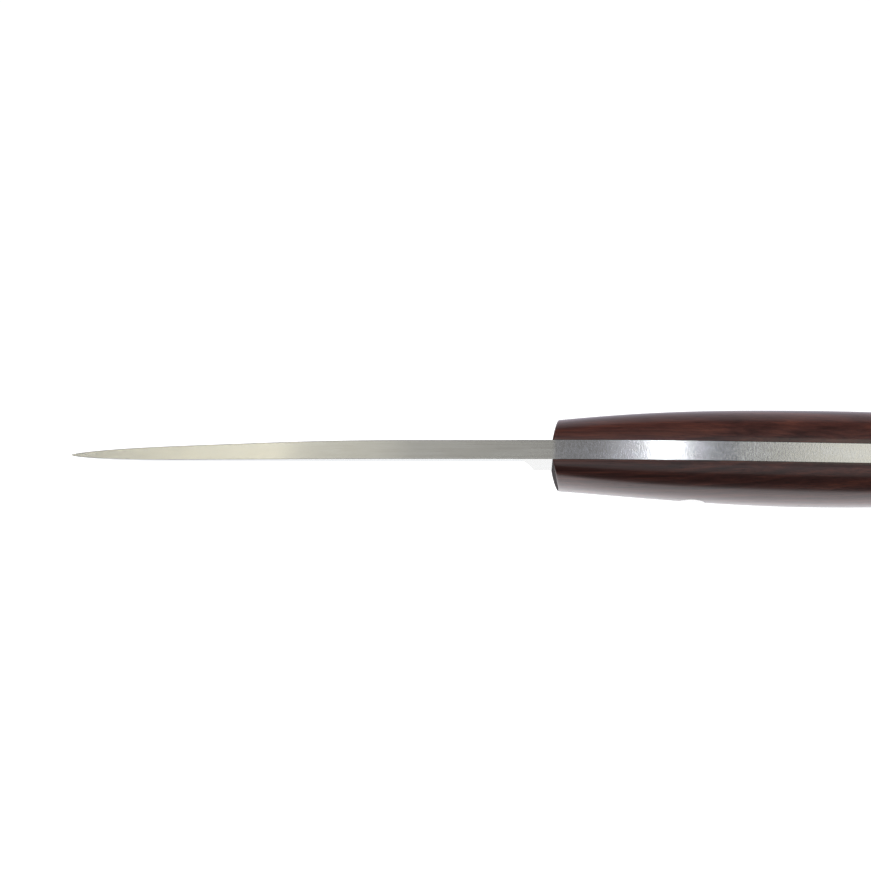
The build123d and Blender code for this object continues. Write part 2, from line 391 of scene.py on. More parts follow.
@dataclass(frozen=True)
class GripShape:
    """Outside of the handle, in millimetres: spine, keel, plan and butt."""

    CORNER_STEPS: ClassVar[int] = 6

    front_x: float
    butt_x: float
    spine_z: float
    half_steel: float
    scale_face: float
    swell_half_width: float
    drop_angle: float = radians(7.2)
    bend_radius: float = 377.0
    front_height: float = 23.6
    recess: tuple[float, float] = (19.0, 22.3)
    palm: tuple[float, float] = (60.0, 25.4)
    waist: tuple[float, float] = (23.0, 23.4)
    butt_height: float = 27.0
    entry_angle: float = radians(10.0)
    hook_angle: float = radians(24.0)
    butt_bulge: float = 2.2
    butt_lean: float = 3.0
    butt_rounding: float = 4.0
    front_half_width: float = 8.7
    shoulder: tuple[float, float] = (20.0, 10.4)
    swell_station: float = 74.0
    butt_half_width: float = 10.6
    sweep_angle: float = radians(10.0)
    sweep_radius: float = 45.0
    edge_rounding: float = 0.5

    @classmethod
    def read(cls) -> "GripShape":
        """Take what the frame gives: the front, the spine, the steel and the swell."""
        film_low, film_high = corners("right_bond_film")
        scale_high = corners("right_scale")[1]
        blade_high = corners("blade")[1]
        return cls(
            front_x=float(film_low[0]),
            butt_x=-float(film_low[0]),
            spine_z=float(blade_high[2]),
            half_steel=float(film_low[1]),
            scale_face=float(film_high[1]),
            swell_half_width=float(scale_high[1]),
        )

    def top(self, x: np.ndarray | float) -> np.ndarray:
        """Z of the handle's spine: level at the front, an arc, then a straight fall."""
        return self.spine_z - bent_fall(x - self.front_x, 0, self.bend_radius, self.drop_angle)

    @cached_property
    def keel(self) -> SmoothLine:
        """Z of the handle's lower line: finger recess, palm swell, waist and hook."""
        stations = [
            (self.front_x, self.front_height),
            (self.front_x + self.recess[0], self.recess[1]),
            (self.front_x + self.palm[0], self.palm[1]),
            (self.butt_x - self.waist[0], self.waist[1]),
        ]
        places = [x for x, _ in stations] + [self.butt_x - self.butt_lean]
        heights = [float(self.top(x)) - height for x, height in stations] + [self.butt_points[1, 1]]
        return SmoothLine(places, heights, tan(self.entry_angle), -tan(self.hook_angle))

    @cached_property
    def half_width(self) -> SmoothLine:
        """Y of the handle's outline in plan."""
        return SmoothLine(
            [self.front_x, self.front_x + self.shoulder[0], self.front_x + self.swell_station, self.butt_x],
            [self.front_half_width, self.shoulder[1], self.swell_half_width, self.butt_half_width],
        )

    @cached_property
    def butt_points(self) -> np.ndarray:
        """Upper corner, lower corner and a middle point of the butt, as X and Z."""
        upper = np.array([self.butt_x, float(self.top(self.butt_x))])
        lower = upper - (self.butt_lean, self.butt_height)
        return np.array([upper, lower, (upper + lower) / 2 + (self.butt_bulge, 0)])

    @cached_property
    def butt_circle(self) -> tuple[float, float, float]:
        """Centre X, centre Z and radius of the circle through the three points of the butt."""
        first, others = self.butt_points[0], self.butt_points[1:]
        squares = (others**2).sum(axis=1) - (first**2).sum()
        centre = np.linalg.solve(2 * (others - first), squares)
        return float(centre[0]), float(centre[1]), float(np.linalg.norm(first - centre))

    def butt_at(self, z: np.ndarray) -> np.ndarray:
        """X of the butt at a height: its circle, carried along Y."""
        centre_x, centre_z, radius = self.butt_circle
        return centre_x + np.sqrt(radius**2 - (z - centre_z) ** 2)

    def front_at(self, y: np.ndarray | float) -> np.ndarray:
        """X of a scale's front face at a Y: a circle's arc that leans back from the steel."""
        centre_x = self.front_x + self.sweep_radius * cos(self.sweep_angle)
        centre_y = self.scale_face - self.sweep_radius * sin(self.sweep_angle)
        return centre_x - np.sqrt(self.sweep_radius**2 - (y - centre_y) ** 2)

    def skin(self, x: np.ndarray, turn: np.ndarray) -> np.ndarray:
        """Point of the rounded outside at a station and a turn.

        Y is the steel's half plus the reach times the cosine of the turn, and Z is the middle
        height plus half the height times its sine.

        Args:
            x: station along X.
            turn: angle from level, in radians: a quarter turn is the spine.

        Returns:
            Points, with X, Y and Z along the last axis.
        """
        x, turn = np.broadcast_arrays(x, turn)
        top, keel = self.top(x), self.keel(x)
        reach = self.half_width(x) - self.scale_face
        y = self.scale_face + reach * np.cos(turn)
        z = (top + keel) / 2 + (top - keel) / 2 * np.sin(turn)
        return np.stack([x, y, z], axis=-1)

    def skin_lift(self, x: np.ndarray, z: np.ndarray) -> np.ndarray:
        """Y of the rounded outside above an X and a Z: the ellipse solved for Y."""
        top, keel = self.top(x), self.keel(x)
        reach = self.half_width(x) - self.scale_face
        rise = (z - (top + keel) / 2) / ((top - keel) / 2)
        return self.scale_face + reach * np.sqrt(np.maximum(1 - rise**2, 0))

    def inward(self, x: np.ndarray, turn: np.ndarray) -> np.ndarray:
        """Unit Y and Z that point straight in from the outside of a cross-section."""
        reach = self.half_width(x) - self.scale_face
        rise = (self.top(x) - self.keel(x)) / 2
        way = -np.stack([np.cos(turn) / reach, np.sin(turn) / rise], axis=-1)
        return way / np.linalg.norm(way, axis=-1, keepdims=True)

    def rounding(self, turn: np.ndarray, radius: float, at_butt: bool, count: int) -> np.ndarray:
        """Rounded edge between the outside and the butt, or the front face.

        The corner is where the two surfaces cross. From there one leg runs back along the outside
        and one runs in across the end surface, each as long as the radius over the tangent of half
        the angle between them.

        Args:
            turn: angles round the section, (n,).
            radius: radius of the rounding.
            at_butt: whether the edge is the butt's rather than the front's.
            count: points along each arc.

        Returns:
            Points as (count, n, 3), from the outside to the end surface.
        """

        def end_x(points: np.ndarray) -> np.ndarray:
            """X of the end surface in line with each point."""
            return self.butt_at(points[:, 2]) if at_butt else self.front_at(points[:, 1])

        small = 0.01
        x = np.full(turn.shape, self.butt_x if at_butt else self.front_x)
        for _ in range(self.CORNER_STEPS):
            x = end_x(self.skin(x, turn))
        corner = self.skin(x, turn)
        along = self.skin(x + small, turn) - self.skin(x - small, turn)
        along /= np.linalg.norm(along, axis=1, keepdims=True)
        back = -along if at_butt else along
        way = self.inward(x, turn)
        lean = (end_x(corner + small) - end_x(corner - small)) / (2 * small)
        in_x = lean * way[:, 1 if at_butt else 0]
        across = np.stack([in_x, way[:, 0], way[:, 1]], axis=1)
        across /= np.linalg.norm(across, axis=1, keepdims=True)
        angle = np.arccos((back * across).sum(axis=1))
        leg = radius / np.tan(angle / 2)
        start = self.skin(x + leg * back[:, 0], turn)
        end = corner + leg[:, None] * across
        end[:, 0] = end_x(end)
        return rounded(start, corner, end, angle, count)


@dataclass(frozen=True)
class BladeShape:
    """Side and section of the blade ahead of the handle, in millimetres."""

    BELLY_POINTS: ClassVar[int] = 600

    tip_x: float
    front_x: float
    spine_z: float
    half_steel: float
    height: float = 21.0
    straight_spine: float = 35.0
    clip_radius: float = 243.0
    clip_angle: float = radians(8.6)
    belly_length: float = 30.0
    belly_start_pull: float = 18.0
    belly_tip_pull: float = 6.7
    tip_angle: float = radians(63.0)
    root_width: float = 0.45
    apex_width: float = 0.1
    edge_angle: float = radians(18.0)
    ricasso: float = 4.5
    plunge_lean: float = 2.0
    plunge_radius: float = 2.6
    guard_rounding: float = 2.0

    @classmethod
    def read(cls) -> "BladeShape":
        """Take the tip, the spine, the steel and the front of the handle from the frame."""
        low, high = corners("blade")
        front_x = float(corners("right_bond_film")[0][0])
        return cls(tip_x=float(low[0]), front_x=front_x, spine_z=float(high[2]), half_steel=float(high[1]))

    @property
    def edge_z(self) -> float:
        """Z of the straight edge."""
        return self.spine_z - self.height

    @property
    def sharpened_rise(self) -> float:
        """Height of the sharpened edge: where its slope has opened to the root width."""
        return (self.root_width - self.apex_width) / 2 / tan(self.edge_angle)

    def top(self, x: np.ndarray) -> np.ndarray:
        """Z of the blade's spine: level, an arc, then a straight fall to the tip."""
        run = self.front_x - x
        return self.spine_z - bent_fall(run, self.straight_spine, self.clip_radius, self.clip_angle)

    def edge(self, x: np.ndarray) -> np.ndarray:
        """Z of the cutting edge: straight, then the belly's cubic curve up to the tip."""
        tip = np.array([self.tip_x, float(self.top(np.array(self.tip_x)))])
        start = np.array([self.tip_x + self.belly_length, self.edge_z])
        towards_tip = np.array([-cos(self.tip_angle), sin(self.tip_angle)])
        knots = np.array(
            [tip, tip - towards_tip * self.belly_tip_pull, start - (self.belly_start_pull, 0), start]
        )
        part = np.linspace(0, 1, self.BELLY_POINTS)[:, None]
        belly = (
            (1 - part) ** 3 * knots[0]
            + 3 * part * (1 - part) ** 2 * knots[1]
            + 3 * part**2 * (1 - part) * knots[2]
            + part**3 * knots[3]
        )
        return np.interp(x, belly[:, 0], belly[:, 1])

    def half_width(self, x: np.ndarray, z: np.ndarray) -> np.ndarray:
        """Y of the blade's side.

        The flat grind opens evenly from the sharpened edge to the spine, and follows the belly.
        It runs out behind in the hollow of a plunge: a circle of the plunge's radius, which meets
        the full thickness where it comes up to it.

        Args:
            x: stations along X.
            z: heights.

        Returns:
            Half the thickness at each point.
        """
        rise = z - self.edge(x)
        slope = (self.half_steel - self.root_width / 2) / (self.height - self.sharpened_rise)
        flat = self.root_width / 2 + slope * (rise - self.sharpened_rise)
        sharpened = self.apex_width / 2 + tan(self.edge_angle) * np.maximum(rise, 0)
        foot = self.front_x - self.ricasso
        line = foot - self.plunge_lean * (z - self.edge_z) / self.height
        ahead = np.clip(line - x, 0, self.plunge_radius)
        hollow = self.plunge_radius - np.sqrt(self.plunge_radius**2 - (self.plunge_radius - ahead) ** 2)
        ground = np.minimum(np.minimum(flat, sharpened) + hollow, self.half_steel)
        return np.where(x < line, ground, self.half_steel)


# ------------------------------------------------------------------------------- shader maths
class Reading:
    """A value in a material's node tree; arithmetic on it adds Math nodes."""

    def __init__(self, paint: "Paint", socket: bpy.types.NodeSocket) -> None:
        """Wrap an output socket of the paint's tree."""
        self.paint = paint
        self.socket = socket

    def maths(self, operation: str, *values: Any) -> "Reading":
        """Add one Math node that works on the given values or readings, in order."""
        keys = ("Value", "Value_001", "Value_002")
        return self.paint.node("Math", {"operation": operation}, dict(zip(keys, values)), "Value")

    def __add__(self, other: Any) -> "Reading":
        """Sum."""
        return self.maths("ADD", self, other)

    def __sub__(self, other: Any) -> "Reading":
        """Difference."""
        return self.maths("SUBTRACT", self, other)

    def __rsub__(self, other: Any) -> "Reading":
        """Difference with a number on the left."""
        return self.maths("SUBTRACT", other, self)

    def __mul__(self, other: Any) -> "Reading":
        """Product."""
        return self.maths("MULTIPLY", self, other)

    def __pow__(self, other: Any) -> "Reading":
        """Power."""
        return self.maths("POWER", self, other)

    __radd__ = __add__
    __rmul__ = __mul__

    def sine(self) -> "Reading":
        """Sine of the value, in radians."""
        return self.maths("SINE", self)

    def step(self, low: float, high: float) -> "Reading":
        """Smooth rise from 0 at low to 1 at high, or a fall where low is the larger."""
        settings = {"interpolation_type": "SMOOTHSTEP"}
        sockets = {"Value": self, "From Min": min(low, high), "From Max": max(low, high)}
        rise = self.paint.node("MapRange", settings, sockets, "Result")
        return rise if low < high else 1 - rise


class Paint:
    """One material, or the world, made node by node."""

    def __init__(self, owner: bpy.types.Material | bpy.types.World) -> None:
        """Start on an owner's emptied node tree."""
        self.owner = owner
        owner.use_nodes = True
        self.tree = owner.node_tree
        self.tree.nodes.clear()

    def node(self, kind: str, settings: dict[str, Any], sockets: dict[str, Any], output: str = "") -> Reading:
        """Add one shader node.

        Args:
            kind: the node's type, without "ShaderNode".
            settings: properties, set before the sockets; "stops" fills a colour ramp.
            sockets: values or readings, by the socket's identifier.
            output: identifier of the output to hand back, or nothing for a last node.

        Returns:
            The named output.
        """
        node = self.tree.nodes.new("ShaderNode" + kind)
        for key, value in settings.items():
            if key == "stops":
                self.fill_ramp(node.color_ramp, value)
            else:
                setattr(node, key, value)
        for key, value in sockets.items():
            socket = next(one for one in node.inputs if one.identifier == key)
            if isinstance(value, Reading):
                self.tree.links.new(value.socket, socket)
            else:
                socket.default_value = value
        return Reading(self, next((one for one in node.outputs if one.identifier == output), None))

    @staticmethod
    def fill_ramp(ramp: bpy.types.ColorRamp, stops: Sequence[tuple[float, Colour]]) -> None:
        """Set a ramp's stops, each a place from 0 to 1 and a linear colour."""
        while len(ramp.elements) < len(stops):
            ramp.elements.new(1.0)
        for element, (place, colour) in zip(ramp.elements, stops):
            element.position = place
            element.color = (*colour, 1.0)

    def place(self, scale: Colour = (1.0, 1.0, 1.0)) -> Reading:
        """The piece's own coordinates in millimetres, each axis times a factor."""
        spot = self.node("TexCoord", {}, {}, "Object")
        factors = tuple(factor / MM for factor in scale)
        sockets = {"Vector": spot, "Vector_001": factors}
        return self.node("VectorMath", {"operation": "MULTIPLY"}, sockets, "Vector")

    def axis(self, letter: str) -> Reading:
        """X, Y or Z in millimetres."""
        return self.node("SeparateXYZ", {}, {"Vector": self.place()}, letter)

    def noise(self, scale: Colour, detail: float = 2.0, roughness: float = 0.5) -> Reading:
        """Fractal noise from about 0 to 1.

        Args:
            scale: cells a millimetre along each axis.
            detail: octaves.
            roughness: share of each finer octave.

        Returns:
            The noise.
        """
        sockets = {"Vector": self.place(scale), "Scale": 1.0, "Detail": detail, "Roughness": roughness}
        return self.node("TexNoise", {}, sockets, "Fac")

    def ramp(self, value: Reading, stops: Sequence[tuple[float, Colour]]) -> Reading:
        """Colour looked up from stops by a value from 0 to 1."""
        return self.node("ValToRGB", {"stops": stops}, {"Fac": value}, "Color")

    def mix(self, share: Any, first: Any, second: Any, blend: str = "MIX") -> Reading:
        """Blend two colours.

        Args:
            share: how much of the second, from 0 to 1.
            first: colour or reading.
            second: colour or reading.
            blend: the Mix node's way of blending.

        Returns:
            The blended colour.
        """
        sockets = {"Factor_Float": share}
        for key, colour in (("A_Color", first), ("B_Color", second)):
            sockets[key] = colour if isinstance(colour, Reading) else (*colour, 1.0)
        return self.node("Mix", {"data_type": "RGBA", "blend_type": blend}, sockets, "Result_Color")

    def bump(self, height: Reading, depth_mm: float, strength: float = 1.0) -> Reading:
        """Normal tilted by a height field of a given depth."""
        sockets = {"Height": height, "Distance": depth_mm * MM, "Strength": strength}
        return self.node("Bump", {}, sockets, "Normal")

    def finish(self, sockets: dict[str, Any]) -> bpy.types.Material:
        """Close the tree with a Principled shader.

        Args:
            sockets: its values or readings by identifier.

        Returns:
            The finished material.
        """
        surface = self.node("BsdfPrincipled", {}, sockets, "BSDF")
        self.node("OutputMaterial", {}, {"Surface": surface})
        return self.owner


# ------------------------------------------------------------------------------- finishes
@dataclass(frozen=True)
class BladeSteel:
    """Belt-satin stainless steel, with the tang's top filed crosswise and polished with the wood."""

    front_x: float
    base: Colour = (0.66, 0.65, 0.61)
    # Painted cool reflection: the tang's base colour is bluer than the blade's to stand for the cool light it
    # reflects, though both are one steel.
    tang_base_with_painted_cool_tint: Colour = (0.63, 0.63, 0.645)
    stain: Colour = (0.50, 0.48, 0.43)
    roughness: float = 0.20
    tang_roughness: float = 0.115

    def make(self) -> bpy.types.Material:
        """Build the material: long satin lines on the blade, short mottled ones on the tang. The tang's base
        colour is painted cooler than the blade's, as a painted cool reflection.
        """
        paint = Paint(bpy.data.materials.new("satin_blade_steel"))
        on_tang = paint.axis("X").step(self.front_x - 0.4, self.front_x + 1.2)
        lines = paint.noise((0.025, 2.6, 2.6), 4.0, 0.62)
        hairs = paint.noise((0.12, 22.0, 22.0), 2.0, 0.5)
        clouds = paint.noise((0.06, 0.25, 0.12), 3.0, 0.55)
        cross = paint.noise((3.2, 0.9, 0.9), 3.0, 0.65)
        mottle = paint.noise((1.6, 1.9, 1.6), 3.0, 0.6)
        blade_lines = lines * 0.65 + hairs * 0.35
        tang_lines = cross * 0.55 + mottle * 0.45
        grain = blade_lines * (1 - on_tang) + tang_lines * on_tang
        # From blade to tang the base colour turns cooler: the steel's own colour plus a painted cool
        # reflection on the tang.
        ground = paint.mix(on_tang, self.base, self.tang_base_with_painted_cool_tint)
        streaked = paint.mix(grain.step(0.62, 0.36) * 0.35, ground, self.stain)
        colour = paint.mix(clouds.step(0.58, 0.40) * 0.22, streaked, self.stain)
        level_roughness = self.roughness + on_tang * (self.tang_roughness - self.roughness)
        roughness = level_roughness + (grain - 0.5) * (on_tang * 0.08 + 0.16) + (clouds - 0.5) * 0.06
        normal = paint.bump(grain * (1 + on_tang * 0.6), 0.014, 0.35)
        return paint.finish(
            {"Base Color": colour, "Metallic": 1.0, "Roughness": roughness, "Normal": normal}
        )


@dataclass(frozen=True)
class ScaleWood:
    """Dense dark hardwood, oiled and buffed, with its grain along the handle."""

    dark: Colour = (0.032, 0.013, 0.011)
    heart: Colour = (0.078, 0.027, 0.022)
    warm: Colour = (0.160, 0.052, 0.034)
    pore: Colour = (0.012, 0.006, 0.005)
    end_tint: Colour = (0.16, 0.15, 0.15)
    pith: tuple[float, float] = (-26.0, -34.0)
    ring_pitch: float = 2.3
    roughness: float = 0.30
    end_roughness: float = 0.85
    coat: float = 0.62

    def make(self) -> bpy.types.Material:
        """Build the material: growth rings round a pith outside the handle, fibre and pores.

        Where the surface faces along the handle, the cut ends of the fibres show darker and duller.
        """
        paint = Paint(bpy.data.materials.new("polished_dark_hardwood"))
        wander = paint.noise((0.012, 0.06, 0.06), 3.0, 0.55)
        across = paint.axis("Y") - self.pith[0]
        up = paint.axis("Z") - self.pith[1]
        radius = (across * across + up * up) ** 0.5 + wander * 9.0
        ring = (radius * (2 * pi / self.ring_pitch)).sine() * 0.5 + 0.5
        fibre = paint.noise((0.07, 2.4, 2.4), 4.0, 0.62)
        fine = paint.noise((0.20, 10.0, 10.0), 2.0, 0.5)
        broad = paint.noise((0.018, 0.30, 0.20), 3.0, 0.55)
        pores = paint.noise((0.26, 7.0, 7.0), 1.0, 0.4).step(0.66, 0.75)
        end = paint.node("Attribute", {"attribute_name": END_GRAIN}, {}, "Fac").step(0.70, 0.95)
        tone = ring * 0.10 + fibre * 0.50 + broad * 0.28 + fine * 0.12
        grain = paint.ramp(tone, [(0.34, self.dark), (0.50, self.heart), (0.66, self.warm)])
        along = paint.mix(pores * 0.7, grain, self.pore)
        colour = paint.mix(end, along, paint.mix(1.0, along, self.end_tint, "MULTIPLY"))
        height = fibre * 0.4 + fine * 0.2 - pores * 0.6
        polish = self.roughness + pores * 0.2 + (fibre - 0.5) * 0.06
        roughness = polish + end * (self.end_roughness - self.roughness)
        return paint.finish(
            {
                "Base Color": colour,
                "Roughness": roughness,
                "Coat Weight": self.coat * (1 - pores * 0.6) * (1 - end),
                "Coat Roughness": 0.10,
                "Coat IOR": 1.5,
                "Normal": paint.bump(height, 0.012, 0.15),
            }
        )


@dataclass(frozen=True)
class BoltSteel:
    """Bright steel sanded flush with the wood, so its scratches run along the handle."""

    base: Colour = (0.74, 0.73, 0.71)
    worn: Colour = (0.56, 0.54, 0.51)
    roughness: float = 0.20

    def make(self) -> bpy.types.Material:
        """Build the material: fine lengthwise scratches and a faint bloom."""
        paint = Paint(bpy.data.materials.new("bright_bolt_steel"))
        scratches = paint.noise((0.5, 14.0, 14.0), 3.0, 0.6)
        bloom = paint.noise((0.5, 0.5, 0.5), 3.0, 0.5)
        wear = scratches.step(0.60, 0.35) * 0.4 + bloom.step(0.55, 0.70) * 0.2
        colour = paint.mix(wear, self.base, self.worn)
        roughness = self.roughness + (scratches - 0.5) * 0.25
        normal = paint.bump(scratches, 0.006, 0.3)
        return paint.finish(
            {"Base Color": colour, "Metallic": 1.0, "Roughness": roughness, "Normal": normal}
        )


@dataclass(frozen=True)
class Adhesive:
    """Cured adhesive that shows as a hairline between the steel and the wood."""

    body: Colour = (0.018, 0.013, 0.011)
    dust: Colour = (0.050, 0.040, 0.034)
    roughness: float = 0.48

    def make(self) -> bpy.types.Material:
        """Build the material: dark, slightly speckled by what it took up in sanding."""
        paint = Paint(bpy.data.materials.new("cured_adhesive"))
        speckle = paint.noise((3.0, 6.0, 6.0), 3.0, 0.6)
        colour = paint.mix(speckle.step(0.52, 0.70), self.body, self.dust)
        roughness = self.roughness + (speckle - 0.5) * 0.3
        normal = paint.bump(speckle, 0.01, 0.3)
        return paint.finish({"Base Color": colour, "Roughness": roughness, "Normal": normal})


class Slot(Enum):
    """The record's material slots."""

    BLADE = "blade_steel"
    WOOD = "scale_wood"
    GLUE = "cured_adhesive"
    BOLT = "bolt_steel"


# ------------------------------------------------------------------------------- pieces
def rungs(top: np.ndarray, bottom: np.ndarray, share: np.ndarray) -> np.ndarray:
    """Straight lines between two outlines.

    Each point is the bottom one plus its share of the way to the top one.

    Args:
        top: upper outline as X and Z, (n, 2).
        bottom: lower outline, (n, 2).
        share: shares of the way up, (m,).

    Returns:
        X and Z as (n, m, 2).
    """
    return bottom[:, None] + share[None, :, None] * (top - bottom)[:, None]


def plan_of(points: np.ndarray) -> np.ndarray:
    """X and Z of points."""
    return points[..., [0, 2]]


def flat_points(plan: np.ndarray, y: np.ndarray | float) -> np.ndarray:
    """X and Z pairs given a Y, as points with X, Y and Z along the last axis."""
    return np.stack([plan[..., 0], np.broadcast_to(y, plan.shape[:-1]), plan[..., 1]], axis=-1)


def level(y: float) -> Lift:
    """A surface at one Y everywhere."""

    def lift(x: np.ndarray, z: np.ndarray) -> np.ndarray:
        """The one Y, for each X and Z."""
        return np.full(np.shape(x), y)

    return lift


def dressed(piece: bpy.types.Object, node: str, slot: Slot, material: bpy.types.Material) -> bpy.types.Object:
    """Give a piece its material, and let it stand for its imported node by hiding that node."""
    piece.data.materials.append(material)
    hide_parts(node)
    return piece


def mark_end_grain(mesh: bpy.types.Mesh) -> None:
    """Store, for each corner of each face, how squarely it faces along the handle.

    The value is the size of the X part of the corner's unit normal: 1 on a cut end, 0 on a side.

    Args:
        mesh: the finished mesh of a scale.
    """
    normals = np.empty(len(mesh.loops) * 3, np.float32)
    mesh.corner_normals.foreach_get("vector", normals)
    facing = mesh.attributes.new(END_GRAIN, "FLOAT", "CORNER")
    facing.data.foreach_set("value", np.abs(normals[::3]))


class Handle:
    """Both wooden scales, the glue under them, and the outline they share with the tang."""

    TURNS = 61
    STATIONS = 170
    CORNER_ROWS = 12
    FRONT_ROWS = 6
    END_ROWS = 12
    FILM_HEIGHTS = 31
    HEAD_CLEARANCE = 0.03
    SHANK_HOLE = 2.46
    SHOULDER_DEPTH = 3.4

    def __init__(self, shape: GripShape, bolts: Sequence[BoltPlace], wood: ScaleWood, glue: Adhesive) -> None:
        """Keep the sizes and finishes.

        Args:
            shape: outside of the handle.
            bolts: the handle bolts.
            wood: finish of the scales.
            glue: finish of the films.
        """
        self.shape = shape
        self.bolts = bolts
        self.wood = wood.make()
        self.glue = glue.make()
        self.turn = np.linspace(pi / 2, -pi / 2, self.TURNS)
        self.share = (1 + np.sin(self.turn)) / 2
        self.shoulder_y = shape.scale_face + self.SHOULDER_DEPTH

    def butt_corner(self) -> tuple[np.ndarray, np.ndarray]:
        """Rounded corners of the butt at the spine and the keel, as X and Z, spine first."""
        ends = np.array([pi / 2, -pi / 2])
        arcs = self.shape.rounding(ends, self.shape.butt_rounding, True, self.CORNER_ROWS)
        return plan_of(arcs[:, 0]), plan_of(arcs[:, 1])

    def butt_rungs(self, share: np.ndarray) -> np.ndarray:
        """Rungs between the butt's corners that bend from straight onto the butt's arc.

        The bend is how far the arc stands out from the straight rung, less the same at the rung's
        two ends, so that the ends stay on the rounded corners.

        Args:
            share: shares of the way up, (m,).

        Returns:
            X and Z as (rows, m, 2).
        """
        top, bottom = self.butt_corner()
        plan = rungs(top, bottom, share)
        weight = np.linspace(0, 1, self.CORNER_ROWS)[:, None]
        bend = self.shape.butt_at(plan[..., 1]) - plan[..., 0]
        top_bend = (self.shape.butt_at(top[:, 1]) - top[:, 0])[:, None]
        bottom_bend = (self.shape.butt_at(bottom[:, 1]) - bottom[:, 0])[:, None]
        plan[..., 0] += weight * (bend - bottom_bend - share * (top_bend - bottom_bend))
        return plan

    def scale(self, side: Side) -> bpy.types.Object:
        """Build one scale: outside, rounded ends, flat inner face and stepped bolt holes.

        Args:
            side: which side of the steel.

        Returns:
            The finished scale.
        """
        shape, turn = self.shape, self.turn
        shell = Shell(f"{side.word}_wood_scale", side)
        front = shape.rounding(turn, shape.edge_rounding, False, self.FRONT_ROWS)
        butt = shape.rounding(turn, shape.butt_rounding, True, self.CORNER_ROWS)
        stations = np.linspace(front[0, :, 0], butt[0, :, 0], self.STATIONS)
        outside = shape.skin(stations, turn[None, :])
        inner_plan = rungs(plan_of(outside[:, 0]), plan_of(outside[:, -1]), self.share)
        inside = flat_points(inner_plan, shape.scale_face)
        holes = [Hole(bolt.x, bolt.z) for bolt in self.bolts]
        windows = [hole.window(outside) for hole in holes]
        shell.add(outside, windows=windows)
        shell.add(inside, windows=windows)
        for arcs, at_butt in ((front, False), (butt, True)):
            shell.add(arcs)
            shell.add(self.end_face(arcs[-1], at_butt))
        front_rungs = rungs(plan_of(front[:, 0]), plan_of(front[:, -1]), self.share)
        for plan in (front_rungs, self.butt_rungs(self.share)):
            shell.add(flat_points(plan, shape.scale_face))
        for bolt, hole, window in zip(self.bolts, holes, windows):
            self.bore(shell, hole, bolt.head_radius + self.HEAD_CLEARANCE, outside, inside, window)
        piece = shell.build()
        mark_end_grain(piece.data)
        return dressed(piece, f"{side.word}_scale", Slot.WOOD, self.wood)

    def end_face(self, edge: np.ndarray, at_butt: bool) -> np.ndarray:
        """Surface from a rounded edge in to the glued face.

        Y and Z run evenly from the edge to a line on the glued face, and X is the butt's or the
        front's surface there.

        Args:
            edge: where the rounding ends, (n, 3).
            at_butt: whether the face is the butt's.

        Returns:
            Points as (rows, n, 3).
        """
        part = np.linspace(0, 1, self.END_ROWS)[:, None]
        inner_z = edge[-1, 2] + self.share * (edge[0, 2] - edge[-1, 2])
        y = edge[:, 1] + part * (self.shape.scale_face - edge[:, 1])
        z = edge[:, 2] + part * (inner_z - edge[:, 2])
        x = self.shape.butt_at(z) if at_butt else self.shape.front_at(y)
        return np.stack([x, y, z], axis=-1)

    def bore(
        self,
        shell: Shell,
        hole: Hole,
        head_hole: float,
        outside: np.ndarray,
        inside: np.ndarray,
        window: tuple,
    ) -> None:
        """Add a stepped hole: wide for the bolt's head down to its shoulder, then narrow.

        Args:
            shell: the scale being built.
            hole: the hole's place.
            head_hole: radius of the wide part.
            outside: grid of the outer face.
            inside: grid of the glued face.
            window: block of both grids left open for it.
        """
        shape = self.shape
        row, column = block_edge(*window)
        wide = hole.ring(outside[row, column], head_hole)
        narrow = hole.ring(outside[row, column], self.SHANK_HOLE)
        mouth = shape.skin_lift(wide[:, 0], wide[:, 1])
        shell.add(hole.surround(outside[row, column], wide, shape.skin_lift), closed=True)
        shell.add(hole.surround(inside[row, column], narrow, level(shape.scale_face)), closed=True)
        wall = [Hole.at(wide, mouth), Hole.at(wide, self.shoulder_y), Hole.at(narrow, self.shoulder_y)]
        shell.add(np.stack(wall + [Hole.at(narrow, shape.scale_face)]), closed=True)

    def film(self, side: Side) -> bpy.types.Object:
        """Build the glue under one scale: the tang's outline, as thick as the gap."""
        shape = self.shape
        shell = Shell(f"{side.word}_glue_line", side)
        top, bottom = self.tang_outline(self.STATIONS)
        share = np.linspace(0, 1, self.FILM_HEIGHTS)
        plan = np.concatenate([rungs(top, bottom, share), self.butt_rungs(share)[1:]])
        near, far = flat_points(plan, shape.scale_face), flat_points(plan, shape.half_steel)
        add_plate(shell, near, far, self.bolts, self.SHANK_HOLE)
        return dressed(shell.build(), f"{side.word}_bond_film", Slot.GLUE, self.glue)

    def tang_outline(self, count: int) -> tuple[np.ndarray, np.ndarray]:
        """Spine and keel from the front to where the butt's corners start, as X and Z.

        Args:
            count: points along each.

        Returns:
            The spine's points and the keel's.
        """
        top_corner, bottom_corner = self.butt_corner()
        top_x = np.linspace(self.shape.front_x, top_corner[0, 0], count)
        bottom_x = np.linspace(self.shape.front_x, bottom_corner[0, 0], count)
        top = np.stack([top_x, self.shape.top(top_x)], axis=1)
        return top, np.stack([bottom_x, self.shape.keel(bottom_x)], axis=1)


